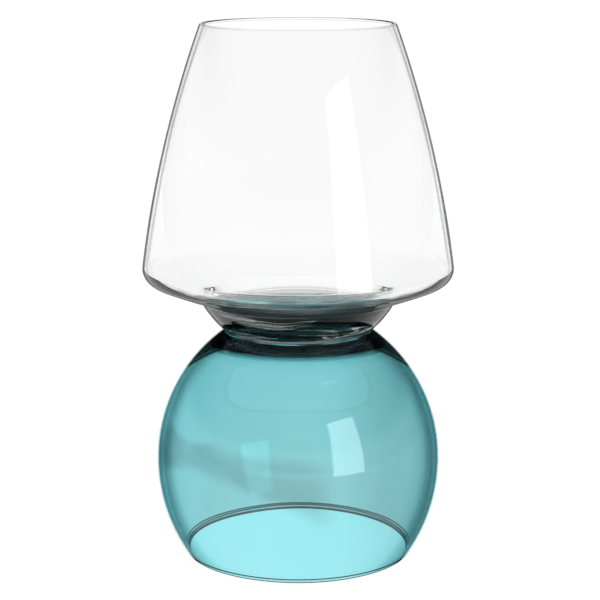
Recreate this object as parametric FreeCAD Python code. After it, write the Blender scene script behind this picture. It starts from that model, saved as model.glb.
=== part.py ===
import FreeCAD, Part
import math
import os

# A lamp-shaped lantern of two blown-glass pieces. A clear shade, open at the top, stands base to
# base on a teal globe, open at the bottom, and a thin film of clear adhesive joins the two.
# Millimetres, +Z up, with the origin at the centre of the rim that the lantern stands on.

# Teal globe, with heights above the table
globe_height = 108.8        # flat face on top of the crown
equator_radius = 68.7
equator_height = 45.0
foot_radius = 55.3          # outside of the rim that it stands on
crown_radius = 35.4         # outside of the flat face, before its edge is rounded
globe_wall = 2.2
crown_thickness = 4.2
crown_inner_round = 24.0    # hollow's corner between the wall and the crown
crown_edge_round = 0.6
foot_lip_round = 0.65

# Adhesive film between the two flat faces
bond_thickness = 0.3
bond_margin = 1.2           # the film stops this far inside the smaller face's corner

# Clear shade, with heights above its own base
shade_height = 146.0
mouth_radius = 46.0
shoulder_radius = 75.0      # corner of the wall and the underside, before it is rounded
shoulder_height = 26.2
crease_radius = 47.3        # corner of the underside and the bowl
crease_height = 15.5
base_radius = 35.0          # corner of the bowl and the flat base
wall_bulge = 3.55           # rise of the wall's arc over its chord
underside_bulge = 0.3
bowl_bulge = 1.0
shade_wall = 1.8
underside_wall = 2.4
shoulder_round = 6.9
crease_round = 3.0
base_edge_round = 0.6
mouth_lip_round = 0.65

shade_base = globe_height + bond_thickness
shade_top = shade_base + shade_height


def at(radius, height):
    """A point of a profile, in the half plane that is turned about the axis."""
    return FreeCAD.Vector(radius, 0, height)


def line(start, end):
    return Part.LineSegment(start, end).toShape()


def bowed(start, end, bulge):
    """An arc that stands out from its chord by the bulge, to the left of the way along it."""
    chord = end - start
    left = FreeCAD.Vector(-chord.z, 0, chord.x).normalize()
    middle = (start + end) * 0.5 + left * bulge
    return Part.Arc(start, middle, end).toShape()


def dish(rim, centre, slope):
    """An arc that leaves the rim at the slope given and runs level on the axis."""
    radius = rim.x / math.sin(slope)
    half_turn = slope / 2
    middle = at(radius * math.sin(half_turn), centre.z + radius * (1 - math.cos(half_turn)))
    return Part.Arc(rim, middle, centre).toShape()


def upright_radius(widest, end):
    """The radius of an arc that stands upright at the widest point of a wall and runs to the end."""
    step_in = widest.x - end.x
    step_up = end.z - widest.z
    return (step_in ** 2 + step_up ** 2) / (2 * step_in)


def upright_arc(widest, end):
    radius = upright_radius(widest, end)
    half_turn = math.asin((end.z - widest.z) / radius) / 2
    middle = at(
        widest.x - radius * (1 - math.cos(half_turn)),
        widest.z + radius * math.sin(half_turn),
    )
    return Part.Arc(widest, middle, end).toShape()


def rounded(edges, corner, radius):
    """The edges of a profile, with the corner where two of them meet rounded."""
    tolerance = 1e-6
    meeting = []
    others = []
    for edge in edges:
        touches = any(vertex.Point.isEqual(corner, tolerance) for vertex in edge.Vertexes)
        (meeting if touches else others).append(edge)
    plane = Part.Plane(at(0, 0), FreeCAD.Vector(0, 1, 0))
    fillet = Part.ChFi2d.FilletAlgo()
    fillet.init(*meeting, plane)
    fillet.perform(radius)
    return others + list(fillet.result(corner))


def turned(edges):
    """The solid that a closed profile makes when it is turned about the axis."""
    profile = Part.Wire(Part.sortEdges(edges)[0])
    return Part.Face(profile).revolve(at(0, 0), FreeCAD.Vector(0, 0, 1), 360)


def make_globe():
    foot = at(foot_radius, 0)
    equator = at(equator_radius, equator_height)
    crown_edge = at(crown_radius, globe_height)
    crown_centre = at(0, globe_height)

    # The hollow's upper arc shares its centre with the outside's
    hollow_foot = at(foot_radius - globe_wall, 0)
    hollow_equator = at(equator_radius - globe_wall, equator_height)
    hollow_centre = at(0, globe_height - crown_thickness)
    hollow_arc = upright_radius(equator, crown_edge) - globe_wall
    hollow_rise = hollow_centre.z - equator_height
    hollow_reach = hollow_equator.x - hollow_arc + math.sqrt(hollow_arc ** 2 - hollow_rise ** 2)
    hollow_corner = at(hollow_reach, hollow_centre.z)

    profile = [
        line(crown_centre, crown_edge),
        upright_arc(equator, crown_edge),
        upright_arc(equator, foot),
        line(foot, hollow_foot),
        upright_arc(hollow_equator, hollow_foot),
        upright_arc(hollow_equator, hollow_corner),
        line(hollow_corner, hollow_centre),
        line(hollow_centre, crown_centre),
    ]
    profile = rounded(profile, crown_edge, crown_edge_round)
    profile = rounded(profile, foot, foot_lip_round)
    profile = rounded(profile, hollow_foot, foot_lip_round)
    profile = rounded(profile, hollow_corner, crown_inner_round)
    return turned(profile)


def make_shade():
    mouth = at(mouth_radius, shade_top)
    shoulder = at(shoulder_radius, shade_base + shoulder_height)
    crease = at(crease_radius, shade_base + crease_height)
    base_edge = at(base_radius, shade_base)
    base_centre = at(0, shade_base)

    # The hollow's underside lies square above the outside's by its own wall. Over the heavy base it
    # runs on without a corner into a shallow dish.
    slope = math.atan2(shoulder.z - crease.z, shoulder.x - crease.x)
    underside_lift = underside_wall / math.cos(slope)
    hollow_mouth = at(mouth_radius - shade_wall, shade_top)
    hollow_shoulder = at(
        shoulder_radius - shade_wall,
        shoulder.z + underside_lift - shade_wall * math.tan(slope),
    )
    dish_rim = at(crease_radius, crease.z + underside_lift)
    dish_centre = at(0, dish_rim.z - dish_rim.x * math.tan(slope / 2))

    profile = [
        line(base_centre, base_edge),
        bowed(crease, base_edge, bowl_bulge),
        bowed(shoulder, crease, underside_bulge),
        bowed(mouth, shoulder, wall_bulge),
        line(mouth, hollow_mouth),
        bowed(hollow_mouth, hollow_shoulder, wall_bulge),
        line(hollow_shoulder, dish_rim),
        dish(dish_rim, dish_centre, slope),
        line(dish_centre, base_centre),
    ]
    profile = rounded(profile, base_edge, base_edge_round)
    profile = rounded(profile, crease, crease_round)
    profile = rounded(profile, shoulder, shoulder_round)
    profile = rounded(profile, mouth, mouth_lip_round)
    profile = rounded(profile, hollow_mouth, mouth_lip_round)
    profile = rounded(profile, hollow_shoulder, shoulder_round - shade_wall)
    return turned(profile)


def make_bond_film():
    film_radius = min(base_radius, crown_radius) - bond_margin
    return Part.makeCylinder(film_radius, bond_thickness, at(0, globe_height))


pieces = {
    "glass_globe": make_globe(),
    "bond_film": make_bond_film(),
    "glass_shade": make_shade(),
}

os.makedirs("parts", exist_ok=True)
for name, piece in pieces.items():
    piece.exportStep(f"parts/{name}.step")
    print(name, "valid" if piece.isValid() else "NOT VALID", round(piece.Volume, 1))
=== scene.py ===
import math

import bpy
import numpy as np
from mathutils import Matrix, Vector, noise


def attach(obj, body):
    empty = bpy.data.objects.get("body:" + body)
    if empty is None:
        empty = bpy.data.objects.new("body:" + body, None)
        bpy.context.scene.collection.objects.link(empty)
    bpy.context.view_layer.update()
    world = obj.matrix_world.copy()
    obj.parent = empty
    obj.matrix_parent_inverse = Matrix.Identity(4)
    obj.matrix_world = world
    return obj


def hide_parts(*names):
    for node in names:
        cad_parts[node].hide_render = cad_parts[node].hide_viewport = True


# Looks for a lamp-shaped lantern of two blown-glass pieces, bonded base to base: a clear shade, open
# at the top, on a teal globe, open at the bottom. The scene is in metres, and the named lengths are in
# millimetres unless their heading says otherwise.

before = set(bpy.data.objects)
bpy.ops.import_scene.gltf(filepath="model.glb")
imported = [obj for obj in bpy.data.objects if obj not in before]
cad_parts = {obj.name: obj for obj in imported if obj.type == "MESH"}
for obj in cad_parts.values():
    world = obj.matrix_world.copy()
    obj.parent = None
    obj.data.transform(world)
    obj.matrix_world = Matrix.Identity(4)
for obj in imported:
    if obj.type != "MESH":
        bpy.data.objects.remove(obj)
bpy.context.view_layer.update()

MM = 0.001

# Teal globe, with heights above the table
globe_height = 108.8        # flat face on top of the crown
equator_radius = 68.7
equator_height = 45.0
foot_radius = 55.3          # outside of the rim that it stands on
crown_radius = 35.4         # outside of the flat face, before its edge is rounded
globe_wall = 2.2
crown_thickness = 4.2
crown_inner_round = 24.0    # hollow's corner between the wall and the crown

# Clear shade, with heights above its own base
shade_height = 146.0
mouth_radius = 46.0
shoulder_radius = 75.0      # corner of the wall and the underside, before it is rounded
shoulder_height = 26.2
crease_radius = 47.3        # corner of the underside and the bowl
crease_height = 15.5
base_radius = 35.0          # corner of the bowl and the flat base
wall_bulge = 3.55           # rise of the wall's arc over its chord
underside_bulge = 0.3
bowl_bulge = 1.0
shade_wall = 1.8
underside_wall = 2.4
shoulder_round = 6.9
crease_round = 3.0

edge_round = 0.6            # the joint's two outer edges
lip_round = 0.65            # the mouth's and the foot's polished lips

# Adhesive film, drawn a little inside its CAD solid so that no two faces lie in one plane
bond_thickness = 0.3
bond_margin = 1.2           # the film stops this far inside the smaller face's corner
bond_inset = 0.04
bond_radius = min(base_radius, crown_radius) - bond_margin

shade_base = globe_height + bond_thickness
shade_top = shade_base + shade_height
crease_level = shade_base + crease_height

# Unevenness of the blown surfaces
shade_wander = 0.05
globe_wander = 0.06
wander_length = 34.0        # length of the wander's waves
wander_rise = 0.7           # share of the height that counts in them

# Rings that the tools left in the heavy base
dish_rings_radius = 40.0    # they end here in the dish
dish_rings_fade = 8.0
crease_fade = 3.0           # they fade on the bowl towards its crease and its base
base_fade = 2.0
dish_inward = -0.5          # less: in the dish, by the upward part of the normal into the glass
bowl_inward = 0.3           # more: on the bowl

# Fineness of the meshes
segments = 320              # faces round each piece
line_points = 40
arc_points = 120
corner_points = 28
corner_step = 0.05          # spacing of the points among which a round's centre is looked for

# Glass
glass_ior = 1.5
straight_ior = 1.0          # light passes without a bend
clear_pass = (0.86, 0.89, 0.88)         # what the clear path through the shade's glass lets through
clear_path = 50.0
teal_wall_pass = (0.505, 0.805, 0.83)   # what one wall of the globe lets through
# The film's grey is painted shade at the joint; the adhesive itself is clear
film_painted_shade_pass = (0.45, 0.42, 0.42)          # what the film lets through
noise_range = (0.3, 0.7)    # where most values of a noise texture lie

# Painted shade in bands on the glass, standing in for the dark look that the heavy base, its dish and the
# crown take from the dim room.
# Each has a zone of heights above the table, and stops along it of the tint there, where 1 is none.
base_zone = (shade_base, shade_base + 30)
base_painted_shade = [
    (0, 0.1), (0.09, 0.03), (0.13, 0.03), (0.15, 0.6), (0.17, 0.05), (0.24, 0.03), (0.27, 0.3),
    (0.29, 0.05), (0.33, 0.02), (0.36, 0.09), (0.38, 0.03), (0.41, 0.03), (0.44, 0.14), (0.46, 0.02),
    (0.5, 0.006), (0.6, 0.06), (0.7, 0.6), (0.78, 0.6), (0.82, 0.1), (0.92, 0.1), (0.97, 1),
]
base_wobble = 0.9           # how far the base's bands wander up and down
dish_zone = (shade_base + 8.9, shade_base + 14.9)
dish_painted_shade = [
    (0, 0.9), (0.25, 0.8), (0.42, 0.4), (0.5, 0.32), (0.57, 0.6), (0.62, 0.33), (0.67, 0.5),
    (0.72, 0.8), (0.77, 0.5), (0.83, 0.85), (0.9, 1),
]
# Painted shade on the crown, which reaches lower where the glass turns away
crown_zone = (globe_height - 6.8, globe_height + 1)
crown_painted_shade = [
    (0, 1), (0.26, 0.85), (0.40, 0.09), (0.60, 0.09), (0.66, 0.4), (0.70, 0.4), (0.76, 0.07),
]
crown_lobes = 14.0          # how much lower the crown's bands reach where the glass turns away
# Painted dark lines along the foot's lip, where its polished edge is seen across
lip_zone = (0.0, 4.0)
lip_painted_lines = [(0, 0.03), (0.14, 0.03), (0.2, 1), (0.42, 1), (0.47, 0.03), (0.6, 0.03), (0.66, 1)]
shade_tint = 0.982          # the shade's tint where it has no band

# Painted dark lines at the edges of the glass, as stops along its turn, from 0 where it faces the viewer to
# 1 where it is edge on
clear_painted_edge = [(0, 0), (0.80, 0), (0.85, 0.8), (1, 0.8)]
teal_painted_edge = [(0, 0), (0.55, 0), (0.79, 0.5), (0.83, 0.5), (0.87, 0), (1, 0)]
teal_unmirrored = [(0, 0), (0.40, 0), (0.60, 1), (0.84, 1), (0.88, 0), (1, 0)]
painted_edge_colour = (0.02, 0.025, 0.025, 1)
lobe_turn = (0.42, 0.9)     # turns between which the crown's bands come down

# Darker teal: a slanting wavy band on the left of the front, and a darker right side
wave_height = 47.0
wave_slant = (0.18, 0.0, 1.0)           # the direction in which its height is measured
wave_half_width = 18.0
wave_drift = 9.0
wave_front = (-30.0, 0.0)   # Y places between which it fades out
wave_left = (2.0, 24.0)     # X places between which it fades out
wave_tint = 0.74
side_fade = (12.0, 50.0)    # X places between which the right side grows darker
side_tint = 0.87

# Limits on the upward part of a face's normal, which sort the faces
shade_below = -0.2          # less: looks down
shade_upright = 0.5         # less: doesn't look up
dish_level = 0.9            # more: floor of the dish
crown_slope = (0.05, 0.95)  # between: slope of the crown
globe_upright = 0.9         # less, up or down: wall of the globe

# Room, as parts of the length of the direction in which it is seen
horizon_fade = (0.14, 0.34)     # upward parts between which the white horizon turns into the ceiling
ceiling_level = 0.10
sweep_depth = (0.12, 0.35)      # backward parts between which the white sweep begins
sweep_side = (0.26, 0.42)       # sideways parts between which it ends

# Floor, with its half width and its drop in metres
floor_half = 12.0
floor_drop = 0.0002             # keeps it clear of the foot
floor_grey = (0.25, 0.25, 0.25, 1)
floor_glow = 0.96
white = (1, 1, 1, 1)
# Painted teal light inside the foot, standing in for light that the globe colours
painted_foot_light = (0.66, 1.06, 1.10, 1)
foot_edge = (53.5, 55.0)        # radii between which the teal inside the foot ends

# Camera, from a fit to the photograph's outline
camera_distance = 878.5
camera_height = 307.7
camera_pitch = math.radians(11.87)
camera_aside = 0.9
focal_pixels = 1867.5
image_pixels = 600
sensor_width = 36.0

# Steps of a light path, enough to cross all the walls and the heavy base
glass_bounces = 32
mirror_bounces = 16


def at(radius, height):
    return np.array((radius, height), float)


def metres(*lengths):
    return tuple(length * MM for length in lengths)


def spaced(points, step):
    """The same line with its points evenly spaced."""
    along = np.r_[0, np.cumsum(np.linalg.norm(np.diff(points, axis=0), axis=1))]
    count = max(2, int(along[-1] / step) + 1)
    places = np.linspace(0, along[-1], count)
    return np.c_[np.interp(places, along, points[:, 0]), np.interp(places, along, points[:, 1])]


def line(start, end):
    return start + (end - start) * np.linspace(0, 1, line_points)[:, None]


def arc(centre, start, end, count=arc_points):
    """The shorter arc about a centre, from one point to another."""
    first = math.atan2(start[1] - centre[1], start[0] - centre[0])
    last = math.atan2(end[1] - centre[1], end[0] - centre[0])
    turn = (last - first + math.pi) % (2 * math.pi) - math.pi
    angles = first + turn * np.linspace(0, 1, count)
    radius = np.linalg.norm(start - centre)
    return centre + radius * np.c_[np.cos(angles), np.sin(angles)]


def bowed(start, end, bulge):
    """An arc that stands out from its chord by the bulge, to the left of the way along it."""
    chord = end - start
    length = np.linalg.norm(chord)
    left = np.array((-chord[1], chord[0])) / length
    radius = (length ** 2 / 4 + bulge ** 2) / (2 * bulge)
    return arc((start + end) / 2 - left * (radius - bulge), start, end)


def upright_radius(widest, end):
    """The radius of an arc that stands upright at the widest point of a wall and runs to the end."""
    step_in, step_up = widest[0] - end[0], end[1] - widest[1]
    return (step_in ** 2 + step_up ** 2) / (2 * step_in)


def upright_arc(widest, end):
    return arc(at(widest[0] - upright_radius(widest, end), widest[1]), widest, end)


def left_of(points):
    """The unit normals to the left of a line."""
    along = np.gradient(points, axis=0)
    along /= np.linalg.norm(along, axis=1)[:, None]
    return np.c_[-along[:, 1], along[:, 0]]


def rounded(first, second, radius):
    """Two lines that meet in a corner, cut back to the arc that rounds it, and the arc between them."""
    before, after = first[-1] - first[-2], second[1] - second[0]
    side = math.copysign(1, before[0] * after[1] - before[1] * after[0])
    first, second = spaced(first, corner_step), spaced(second, corner_step)

    # The round's centre is where the two lines meet once each is shifted by the radius
    spare_points = 20
    reach = int(4 * radius / corner_step) + spare_points
    shifted_first = (first + left_of(first) * side * radius)[-reach:]
    shifted_second = (second + left_of(second) * side * radius)[:reach]
    gaps = np.linalg.norm(shifted_first[:, None] - shifted_second[None], axis=2)
    i, j = np.unravel_index(gaps.argmin(), gaps.shape)
    centre = (shifted_first[i] + shifted_second[j]) / 2
    cut = len(first) - len(shifted_first) + i
    return first[:cut], arc(centre, first[cut], second[j], corner_points), second[j + 1:]


def thinned(points, turn=2.0, length=0.7):
    """The line with as many points as its bends, in degrees, and its length need."""
    steps = np.diff(points, axis=0)
    heading = np.degrees(np.unwrap(np.arctan2(steps[:, 1], steps[:, 0])))
    along = np.r_[0, np.cumsum(np.linalg.norm(steps, axis=1))]
    kept = [0]
    for i in range(1, len(points) - 1):
        if abs(heading[i] - heading[kept[-1]]) > turn or along[i] - along[kept[-1]] > length:
            kept.append(i)
    return points[kept + [len(points) - 1]]


def outline(spans, rounds):
    """One line along all the spans, with the corner after each rounded where a radius is given."""
    done = []
    current = spans[0]
    for following, radius in zip(spans[1:], rounds):
        if radius:
            current, corner, following = rounded(current, following, radius)
            done += [current, corner]
        else:
            done.append(current[:-1])
        current = following
    return thinned(np.vstack(done + [current]))


def globe_outline():
    """From the hollow's top down the inside, round the foot's lip, and up the outside to the crown."""
    foot = at(foot_radius, 0)
    equator = at(equator_radius, equator_height)
    crown_edge = at(crown_radius, globe_height)

    # The hollow's upper arc shares its centre with the outside's
    hollow_foot = at(foot_radius - globe_wall, 0)
    hollow_equator = at(equator_radius - globe_wall, equator_height)
    hollow_top = globe_height - crown_thickness
    hollow_arc = upright_radius(equator, crown_edge) - globe_wall
    hollow_rise = hollow_top - equator_height
    hollow_reach = hollow_equator[0] - hollow_arc + math.sqrt(hollow_arc ** 2 - hollow_rise ** 2)
    hollow_corner = at(hollow_reach, hollow_top)

    inside = [
        upright_arc(hollow_equator, hollow_corner)[::-1],
        upright_arc(hollow_equator, hollow_foot)[1:],
    ]
    outside = [
        upright_arc(equator, foot)[::-1],
        upright_arc(equator, crown_edge)[1:],
    ]
    spans = [
        line(at(0, hollow_top), hollow_corner),
        np.vstack(inside),
        line(hollow_foot, foot),
        np.vstack(outside),
        line(crown_edge, at(0, globe_height)),
    ]
    return outline(spans, [crown_inner_round, lip_round, lip_round, edge_round])


def shade_outline():
    """From the base's centre up the outside, over the mouth's lip, and down the inside to the dish."""
    mouth = at(mouth_radius, shade_top)
    shoulder = at(shoulder_radius, shade_base + shoulder_height)
    crease = at(crease_radius, crease_level)
    base_edge = at(base_radius, shade_base)

    # The hollow's underside lies square above the outside's by its own wall. Over the heavy base it
    # runs on without a corner into a shallow dish.
    slope = math.atan2(shoulder[1] - crease[1], shoulder[0] - crease[0])
    lift = underside_wall / math.cos(slope)
    hollow_mouth = at(mouth_radius - shade_wall, shade_top)
    hollow_shoulder = at(
        shoulder_radius - shade_wall,
        shoulder[1] + lift - shade_wall * math.tan(slope),
    )
    dish_rim = at(crease_radius, crease[1] + lift)
    dish_centre = at(0, dish_rim[1] - dish_rim[0] * math.tan(slope / 2))
    dish_radius = dish_rim[0] / math.sin(slope)

    spans = [
        line(at(0, shade_base), base_edge),
        bowed(crease, base_edge, bowl_bulge)[::-1],
        bowed(shoulder, crease, underside_bulge)[::-1],
        bowed(mouth, shoulder, wall_bulge)[::-1],
        line(mouth, hollow_mouth),
        bowed(hollow_mouth, hollow_shoulder, wall_bulge),
        line(hollow_shoulder, dish_rim),
        arc(dish_centre + at(0, dish_radius), dish_rim, dish_centre),
    ]
    inner_shoulder_round = shoulder_round - shade_wall
    rounds = [edge_round, crease_round, shoulder_round, lip_round, lip_round, inner_shoulder_round, 0]
    return outline(spans, rounds)


def film_outline():
    low, high = globe_height + bond_inset, shade_base - bond_inset
    spans = [
        line(at(0, low), at(bond_radius, low)),
        line(at(bond_radius, low), at(bond_radius, high)),
        line(at(bond_radius, high), at(0, high)),
    ]
    return outline(spans, [0, 0])


def tool_rings(x, y, radius, height, inward_z):
    """Uneven rings in the dish and on the bowl, left by the tools that shaped the heavy base.

    The upward part of the normal into the glass tells the dish from the bowl.
    """
    wobble_length = 15.0
    wobble = noise.noise(Vector((x, y, height)) / wobble_length)
    if inward_z < dish_inward and radius < dish_rings_radius:
        depth, length, spacing, drift = 0.11, 30, 2.4, 4
        fade = min(1, (dish_rings_radius - radius) / dish_rings_fade)
        across = radius
    elif inward_z > bowl_inward and base_radius < radius < crease_radius and height < crease_level:
        depth, length, spacing, drift = 0.12, 24, 2.6, 0.8
        fade = min(1, (crease_radius - radius) / crease_fade, (radius - base_radius) / base_fade)
        across = height
    else:
        return 0.0
    ring = (across + drift * wobble) / spacing
    return depth * fade * noise.noise(Vector((x / length, y / length, ring)))


def turned(name, points, wander=0.0, ripple=None):
    """A mesh that a line from axis to axis makes when it is turned, with a blown surface's unevenness.

    The surface moves along its normal by a slow wander, and by the ripple function of place if given.
    """
    inner = points[1:-1]
    normals = left_of(points)[1:-1]
    angles = np.linspace(0, 2 * math.pi, segments, endpoint=False)
    verts = [(0, 0, points[0][1] * MM)]
    for (radius, height), normal in zip(inner, normals):
        for angle in angles:
            x, y = radius * math.cos(angle), radius * math.sin(angle)
            move = wander * noise.noise(Vector((x, y, height * wander_rise)) / wander_length)
            if ripple:
                move += ripple(x, y, radius, height, normal[1])
            r, z = radius + normal[0] * move, height + normal[1] * move
            verts.append((r * math.cos(angle) * MM, r * math.sin(angle) * MM, z * MM))
    verts.append((0, 0, points[-1][1] * MM))
    last = len(verts) - 1
    faces = []
    for j in range(segments):
        k = (j + 1) % segments
        faces.append((0, 1 + k, 1 + j))
        for i in range(len(inner) - 1):
            low, high = 1 + i * segments, 1 + (i + 1) * segments
            faces.append((low + j, low + k, high + k, high + j))
        end = 1 + (len(inner) - 1) * segments
        faces.append((end + j, end + k, last))
    mesh = bpy.data.meshes.new(name)
    mesh.from_pydata(verts, [], faces)
    mesh.polygons.foreach_set("use_smooth", [True] * len(faces))
    mesh.update()
    piece = bpy.data.objects.new(name, mesh)
    bpy.context.scene.collection.objects.link(piece)
    return piece


def node(tree, kind, values=None):
    """A new shader node of a kind, with the values that are given for its inputs."""
    made = tree.nodes.new("ShaderNode" + kind)
    for name, value in (values or {}).items():
        made.inputs[name].default_value = value
    return made


def combined(tree, operation, *operands):
    """The result of a math operation on sockets or numbers."""
    made = node(tree, "Math")
    made.operation = operation
    for socket, operand in zip(made.inputs, operands):
        if isinstance(operand, bpy.types.NodeSocket):
            tree.links.new(operand, socket)
        else:
            socket.default_value = operand
    return made.outputs[0]


def product(tree, first, *others):
    """The sockets' values, all multiplied."""
    for other in others:
        first = combined(tree, "MULTIPLY", first, other)
    return first


def ranged(tree, value, source, target):
    """A value taken from one range to another by a smooth step, and held at both ends."""
    made = node(tree, "MapRange")
    made.interpolation_type = "SMOOTHSTEP"
    for name, amount in zip(("From Min", "From Max", "To Min", "To Max"), (*source, *target)):
        made.inputs[name].default_value = amount
    tree.links.new(value, made.inputs["Value"])
    return made.outputs[0]


def ramp(tree, value, stops):
    """A curve of straight pieces over a value from 0 to 1, as (place, height) stops."""
    made = node(tree, "ValToRGB")
    curve = made.color_ramp
    while len(curve.elements) < len(stops):
        curve.elements.new(0.5)
    for element, (place, height) in zip(curve.elements, stops):
        element.position = place
        element.color = (height, height, height, 1)
    tree.links.new(value, made.inputs["Fac"])
    return made.outputs["Color"]


def banded(tree, height, zone, bands):
    """The bands' curve over a zone of heights."""
    low, high = metres(*zone)
    share = node(tree, "MapRange", {"From Min": low, "From Max": high})
    tree.links.new(height, share.inputs["Value"])
    return ramp(tree, share.outputs[0], bands)


def object_place(tree):
    return node(tree, "TexCoord").outputs["Object"]


def axes(tree, vector):
    """The X, Y and Z parts of a vector, by name."""
    parts = node(tree, "SeparateXYZ")
    tree.links.new(vector, parts.inputs[0])
    return parts.outputs


def uneven(tree, place, settings):
    """The value of a noise texture at a place."""
    texture = node(tree, "TexNoise", settings)
    tree.links.new(place, texture.inputs["Vector"])
    return texture.outputs["Fac"]


def turned_away(tree):
    """0 where the glass faces the viewer, 1 where it is seen edge on."""
    return node(tree, "LayerWeight", {"Blend": 0.5}).outputs["Facing"]


def marked(tree, name):
    """The value of a mark on the faces that carry it, and 0 on all others."""
    mark_value = node(tree, "Attribute")
    mark_value.attribute_name = name
    return mark_value.outputs["Fac"]


def coming_in(tree):
    """1 where a ray meets the glass from the air, 0 where it meets the surface from inside the glass."""
    return ranged(tree, node(tree, "NewGeometry").outputs["Backfacing"], (0, 1), (1, 0))


def mixed(tree, amount, first, second):
    """Two shaders mixed, with as much of the second as the amount says."""
    made = node(tree, "MixShader")
    for socket, source in zip(made.inputs, (amount, first, second)):
        tree.links.new(source, socket)
    return made.outputs[0]


def absorption(passed, path):
    """The colour and the density of a volume that lets that much of each colour through on the path."""
    darkest = 0.1               # least part of the volume's colour
    loss = [-math.log(share) / (path * MM) for share in passed]
    density = max(loss) / (1 - darkest)
    return [1 - amount / density for amount in loss], density


def glass(name, passed, path, ior=glass_ior):
    """Polished glass that is coloured through, with the faint waviness of a blown surface."""
    material = bpy.data.materials.new(name)
    material.use_nodes = True
    tree = material.node_tree
    shader = tree.nodes["Principled BSDF"]
    shader.inputs["Base Color"].default_value = white
    shader.inputs["Roughness"].default_value = 0.0
    shader.inputs["IOR"].default_value = ior
    shader.inputs["Transmission Weight"].default_value = 1.0
    colour, density = absorption(passed, path)
    volume = node(tree, "VolumeAbsorption", {"Color": (*colour, 1), "Density": density})
    tree.links.new(volume.outputs["Volume"], tree.nodes["Material Output"].inputs["Volume"])
    waves = uneven(tree, object_place(tree), {"Scale": 28.0, "Detail": 1.0})
    bump = node(tree, "Bump", {"Strength": 0.02, "Distance": MM})
    tree.links.new(waves, bump.inputs["Height"])
    tree.links.new(bump.outputs["Normal"], shader.inputs["Normal"])
    return material


def straight_under_film(material):
    """Lets light pass without a bend where the film joins the glass."""
    tree = material.node_tree
    ior = ranged(tree, marked(tree, "bonded"), (0, 1), (glass_ior, straight_ior))
    tree.links.new(ior, tree.nodes["Principled BSDF"].inputs["IOR"])


def mirror_outside(material):
    """Leaves the mirror reflections to the outside, so that the hollow shows no image of the base."""
    tree = material.node_tree
    mirror = product(tree, marked(tree, "outside"), coming_in(tree))
    reflection = tree.nodes["Principled BSDF"].inputs["Specular Tint"]
    tree.links.new(ranged(tree, mirror, (0, 1), (0, 1)), reflection)


def tint_surface(material, *tints):
    tree = material.node_tree
    tree.links.new(product(tree, *tints), tree.nodes["Principled BSDF"].inputs["Base Color"])


def painted_shade_by_height(tree, name, zone, bands, lobes=0.0, wobble=0.0, elsewhere=1.0):
    """Bands of painted shade by height on the marked faces, for light that comes in from outside.

    Lobes bring the bands down where the glass turns away, and the wobble makes them uneven.
    """
    place = object_place(tree)
    height = axes(tree, place)["Z"]
    if lobes:
        rise = ranged(tree, turned_away(tree), lobe_turn, metres(0, lobes))
        height = combined(tree, "ADD", height, rise)
    if wobble:
        waves = uneven(tree, place, {"Scale": 45.0})
        height = combined(tree, "ADD", height, ranged(tree, waves, noise_range, metres(-wobble, wobble)))
    tint = node(tree, "Mix", {"A": elsewhere})
    tree.links.new(product(tree, marked(tree, name), coming_in(tree)), tint.inputs["Factor"])
    tree.links.new(banded(tree, height, zone, bands), tint.inputs["B"])
    return tint.outputs["Result"]


def dark_edges(material, stops, unmirrored_stops=None):
    """Painted dark lines where the glass is seen edge on: a dark diffuse shader mixed in by how far the
    glass turns away.

    Where unmirrored stops are given, the glass there also loses its reflection of the pale room.
    """
    tree = material.node_tree
    turn = turned_away(tree)
    shader = tree.nodes["Principled BSDF"]
    surface = shader.outputs[0]
    if unmirrored_stops:
        through = node(tree, "BsdfRefraction", {"Roughness": 0.0})
        for socket, source in (("IOR", "IOR"), ("Color", "Base Color")):
            tree.links.new(shader.inputs[source].links[0].from_socket, through.inputs[socket])
        surface = mixed(tree, ramp(tree, turn, unmirrored_stops), surface, through.outputs[0])
    dark = node(tree, "BsdfDiffuse", {"Color": painted_edge_colour})
    edge = product(tree, marked(tree, "upright"), coming_in(tree), ramp(tree, turn, stops))
    edged = mixed(tree, edge, surface, dark.outputs[0])
    tree.links.new(edged, tree.nodes["Material Output"].inputs["Surface"])


def darker_wave(tree):
    """The tint of the darker wavy band."""
    place = object_place(tree)
    stretch = node(tree, "Mapping", {"Scale": (1.0, 1.0, 2.4)})
    tree.links.new(place, stretch.inputs["Vector"])
    streak_look = {"Scale": 11.0, "Detail": 2.0, "Distortion": 0.7}
    streaks = uneven(tree, stretch.outputs["Vector"], streak_look)
    slant = node(tree, "VectorMath")
    slant.operation = "DOT_PRODUCT"
    slant.inputs[1].default_value = wave_slant
    tree.links.new(place, slant.inputs[0])
    drift = ranged(tree, streaks, noise_range, metres(-wave_drift, wave_drift))
    drifted = combined(tree, "ADD", slant.outputs["Value"], drift)
    off_wave = combined(tree, "ABSOLUTE", combined(tree, "SUBTRACT", drifted, wave_height * MM))
    side = axes(tree, place)
    density = product(
        tree,
        ranged(tree, off_wave, metres(0, wave_half_width), (1, 0)),
        ranged(tree, side["Y"], metres(*wave_front), (1, 0)),
        ranged(tree, side["X"], metres(*wave_left), (1, 0)),
    )
    return ranged(tree, density, (0, 1), (1, wave_tint))


def clear_glass():
    """The shade's glass, with painted shade on its base and in its dish."""
    material = glass("clear_glass", clear_pass, clear_path)
    tree = material.node_tree
    base = painted_shade_by_height(tree, "below", base_zone, base_painted_shade, wobble=base_wobble, elsewhere=shade_tint)
    dish = painted_shade_by_height(tree, "dish", dish_zone, dish_painted_shade)
    tint_surface(material, base, dish)
    straight_under_film(material)
    mirror_outside(material)
    dark_edges(material, clear_painted_edge)
    return material


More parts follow.
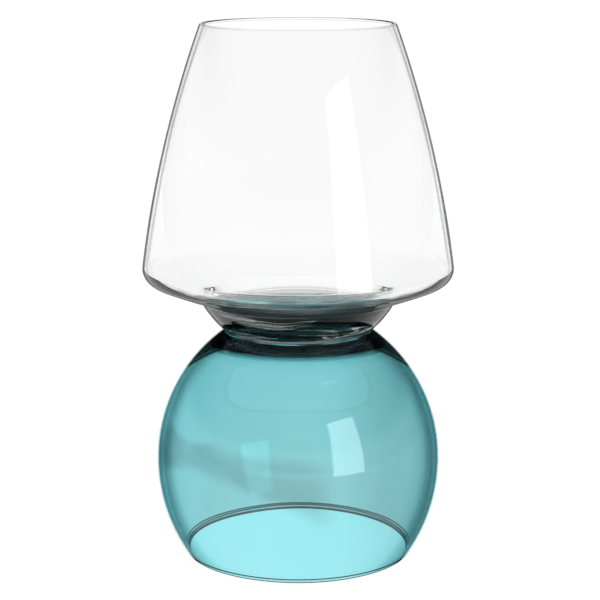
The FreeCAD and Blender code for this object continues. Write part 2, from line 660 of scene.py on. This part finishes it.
def teal_glass():
    """The globe's glass, with a darker wavy band and a darker right side in its wall, painted shade on its
    crown and painted dark lines along the foot's lip.
    """
    material = glass("teal_glass", teal_wall_pass, globe_wall)
    tree = material.node_tree
    place = axes(tree, object_place(tree))
    side = ranged(tree, place["X"], metres(*side_fade), (1, side_tint))
    lip = banded(tree, place["Z"], lip_zone, lip_painted_lines)
    crown = painted_shade_by_height(tree, "crown", crown_zone, crown_painted_shade, lobes=crown_lobes)
    tint_surface(material, darker_wave(tree), side, lip, crown)
    straight_under_film(material)
    dark_edges(material, teal_painted_edge, teal_unmirrored)
    return material


def mark(piece, name, value_of):
    """Puts a mark on a piece, with a value from 0 to 1 for each of its faces."""
    values = [float(value_of(face)) for face in piece.data.polygons]
    piece.data.attributes.new(name, "FLOAT", "FACE").data.foreach_set("value", values)


def mark_bond(piece, height):
    """Marks the part of a piece's flat face that lies on the film."""
    flatness = 0.01

    def on_film(face):
        x, y, z = face.center
        return abs(z - height * MM) < flatness * MM and math.hypot(x, y) < bond_radius * MM

    mark(piece, "bonded", on_film)


def mirror_share(face):
    """How much of its mirror reflection a face of the shade keeps: all outside, less on the dark bowl."""
    bowl_share = 0.35
    if face.normal.xy.dot(face.center.xy) <= 0:
        return 0.0
    return 1.0 if face.center.z > crease_level * MM else bowl_share


def crown_share(face):
    """How much of the crown's painted shade a face takes: all on the slope, and an uneven part beside the
    film.
    """
    share, swing, length = 0.6, 1.5, 9.0
    slope_low, slope_high = crown_slope
    if face.normal.z < slope_low:
        return 0.0
    if face.normal.z < slope_high:
        return 1.0
    if face.center.xy.length < bond_radius * MM:
        return 0.0
    return min(1.0, max(0.0, share + swing * noise.noise(face.center / (length * MM))))


def in_dish(face):
    return face.normal.z > dish_level and face.center.z < dish_zone[1] * MM


def make_shade():
    shade = turned("shade", shade_outline(), shade_wander, tool_rings)
    shade.data.materials.append(clear_glass())
    mark_bond(shade, shade_base)
    mark(shade, "below", lambda face: face.normal.z < shade_below)
    mark(shade, "upright", lambda face: face.normal.z < shade_upright)
    mark(shade, "outside", mirror_share)
    mark(shade, "dish", in_dish)
    return shade


def make_globe():
    globe = turned("globe", globe_outline(), globe_wander)
    globe.data.materials.append(teal_glass())
    mark_bond(globe, globe_height)
    mark(globe, "crown", crown_share)
    mark(globe, "upright", lambda face: abs(face.normal.z) < globe_upright)
    return globe


def make_film():
    film = turned("film", film_outline())
    film.data.materials.append(glass("clear_adhesive", film_painted_shade_pass, bond_thickness, straight_ior))
    return film


def dress():
    """Puts the dressed pieces in the place of their CAD nodes."""
    for piece, cad_node, slot in (
        (make_shade(), "glass_shade", "clear_glass"),
        (make_globe(), "glass_globe", "teal_glass"),
        (make_film(), "bond_film", "clear_adhesive"),
    ):
        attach(piece, "root")
        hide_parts(cad_node)


def set_world():
    """A dim room that is white round the horizon, with a white sweep that runs up behind the lantern."""
    world = bpy.data.worlds.new("studio")
    bpy.context.scene.world = world
    world.use_nodes = True
    tree = world.node_tree
    tree.nodes.clear()
    seen = axes(tree, node(tree, "TexCoord").outputs["Generated"])
    behind = ranged(tree, seen["Y"], sweep_depth, (0, 1))
    in_line = ranged(tree, combined(tree, "ABSOLUTE", seen["X"]), sweep_side, (1, 0))
    horizon = ranged(tree, seen["Z"], horizon_fade, (1, ceiling_level))
    level = combined(tree, "MAXIMUM", horizon, product(tree, behind, in_line))
    room = node(tree, "Background")
    tree.links.new(level, room.inputs["Strength"])
    tree.links.new(room.outputs[0], node(tree, "OutputWorld").inputs["Surface"])


def make_floor():
    """A pale floor that glows a little, as a light table does, with painted teal light inside the foot
    where the globe colours the light.
    """
    near, far = -floor_half, floor_half
    corners = [(near, near), (far, near), (far, far), (near, far)]
    mesh = bpy.data.meshes.new("floor")
    mesh.from_pydata([(x, y, -floor_drop) for x, y in corners], [], [(0, 1, 2, 3)])
    floor = bpy.data.objects.new("floor", mesh)
    bpy.context.scene.collection.objects.link(floor)

    material = bpy.data.materials.new("floor")
    material.use_nodes = True
    tree = material.node_tree
    pale = tree.nodes["Principled BSDF"]
    pale.inputs["Base Color"].default_value = floor_grey
    pale.inputs["Roughness"].default_value = 1.0
    pale.inputs["Specular IOR Level"].default_value = 0.0
    pale.inputs["Emission Strength"].default_value = floor_glow
    reach = node(tree, "VectorMath")
    reach.operation = "LENGTH"
    tree.links.new(object_place(tree), reach.inputs[0])
    tint = node(tree, "Mix")
    tint.data_type = "RGBA"
    tint.inputs["A"].default_value = painted_foot_light
    tint.inputs["B"].default_value = white
    outside = ranged(tree, reach.outputs["Value"], metres(*foot_edge), (0, 1))
    tree.links.new(outside, tint.inputs["Factor"])
    tree.links.new(tint.outputs["Result"], pale.inputs["Emission Color"])
    mesh.materials.append(material)


def softbox(name, azimuth, distance, height, width, tall, power):
    """A soft light that faces the lantern from an azimuth off the camera's side, with lengths in metres."""
    lamp = bpy.data.lights.new(name, "AREA")
    lamp.shape = "RECTANGLE"
    lamp.size = width
    lamp.size_y = tall
    lamp.energy = power
    light = bpy.data.objects.new(name, lamp)
    turn = math.radians(azimuth)
    light.location = (math.sin(turn) * distance, -math.cos(turn) * distance, height)
    aim = Vector((0, 0, height)) - light.location
    light.rotation_euler = aim.to_track_quat("-Z", "Y").to_euler()
    bpy.context.scene.collection.objects.link(light)


def make_camera():
    camera = bpy.data.cameras.new("camera")
    camera.sensor_width = sensor_width
    camera.lens = focal_pixels / image_pixels * sensor_width
    eye = bpy.data.objects.new("camera", camera)
    eye.location = metres(camera_aside, -camera_distance, camera_height)
    eye.rotation_euler = (math.pi / 2 - camera_pitch, 0, 0)
    bpy.context.scene.collection.objects.link(eye)
    bpy.context.scene.camera = eye


dress()
set_world()
make_floor()
softbox("strip", azimuth=40, distance=1.1, height=0.30, width=0.5, tall=0.96, power=5.5)
make_camera()

scene = bpy.context.scene
scene.view_settings.view_transform = "Standard"
scene.cycles.max_bounces = glass_bounces
scene.cycles.transmission_bounces = glass_bounces
scene.cycles.glossy_bounces = mirror_bounces
